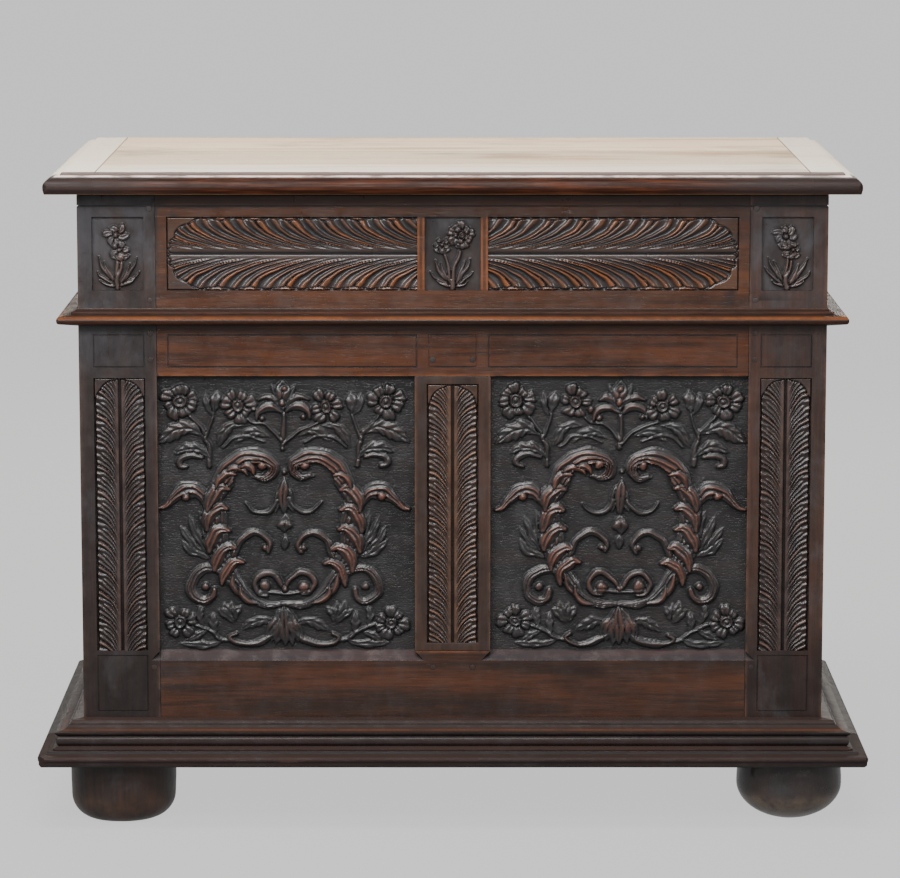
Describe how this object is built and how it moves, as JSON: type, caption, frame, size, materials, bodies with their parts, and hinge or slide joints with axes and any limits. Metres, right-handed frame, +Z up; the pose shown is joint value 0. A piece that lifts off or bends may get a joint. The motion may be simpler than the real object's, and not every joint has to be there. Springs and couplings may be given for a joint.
{
  "type": "coffer",
  "caption": "Framed and panelled chest on bun feet, carved with leaf bands and flower scrolls, with a moulded lid that lifts on strap hinges.",
  "frame": {"origin": "on the floor, under the middle of the coffer's width and depth", "axes": "+X to the right as seen from the front, +Y from the front to the back, +Z up"},
  "size_m": [1.204, 0.6762, 0.955],
  "materials": {
    "carved_frame": "near-black stained and waxed wood, glossy, rubbed to brown on the high points of the carving",
    "polished_rail": "reddish-brown stained and waxed wood with straight grain, glossy",
    "carved_panel": "black waxed carving on a punched, duller ground",
    "moulding": "dark brown waxed wood with worn, lighter arrises",
    "side_wood": "dark brown stained wood, satin",
    "plain_wood": "bare aged wood, dull",
    "foot_wood": "turned wood, black-brown wax, scuffed at the floor",
    "lid_wood": "worn waxed planks, glossy, with a darker moulded edge",
    "forged_iron": "forged iron, dark and dull"
  },
  "bodies": {
    "case": {"post_front_left": "carved_frame", "post_front_right": "carved_frame", "muntin_front": "carved_frame", "frieze_rail_front": "polished_rail", "upper_rail_front": "polished_rail", "bottom_rail_front": "polished_rail", "joint_pegs_front": "polished_rail", "front_panel_left": "carved_panel", "front_panel_right": "carved_panel", "mid_moulding_front": "moulding", "mid_moulding_left": "moulding", "mid_moulding_right": "moulding", "plinth_moulding_front": "moulding", "plinth_moulding_left": "moulding", "plinth_moulding_right": "moulding", "base_board_front": "moulding", "base_board_left": "moulding", "base_board_right": "moulding", "post_back_left": "side_wood", "post_back_right": "side_wood", "frieze_rail_left": "side_wood", "upper_rail_left": "side_wood", "bottom_rail_left": "side_wood", "side_panel_left": "side_wood", "frieze_rail_right": "side_wood", "upper_rail_right": "side_wood", "bottom_rail_right": "side_wood", "side_panel_right": "side_wood", "joint_pegs_sides": "side_wood", "base_board_back": "plain_wood", "top_rail_back": "plain_wood", "bottom_rail_back": "plain_wood", "muntin_back": "plain_wood", "back_panel_left": "plain_wood", "back_panel_right": "plain_wood", "floor_board_left": "plain_wood", "floor_board_mid_left": "plain_wood", "floor_board_mid_right": "plain_wood", "floor_board_right": "plain_wood", "joint_pegs_back": "plain_wood", "foot_front_left": "foot_wood", "foot_front_right": "foot_wood", "foot_back_left": "foot_wood", "foot_back_right": "foot_wood", "floor_nails": "forged_iron", "hinge_plate_left": "forged_iron", "hinge_plate_right": "forged_iron", "hinge_pin_left": "forged_iron", "hinge_pin_right": "forged_iron", "hinge_nails_case": "forged_iron"},
    "lid": {"lid_plank_front": "lid_wood", "lid_plank_middle": "lid_wood", "lid_plank_back": "lid_wood", "lid_cleat_left": "lid_wood", "lid_cleat_right": "lid_wood", "cleat_pegs": "lid_wood", "hinge_strap_left": "forged_iron", "hinge_strap_right": "forged_iron", "hinge_nails_lid": "forged_iron"}
  },
  "joints": [
    {"name": "lid_hinge", "type": "hinge", "parent": "case", "child": "lid", "pos_m": [0, 0.33215, 0.924], "axis": [-1, 0, 0], "range_deg": [0, 100]}
  ]
}
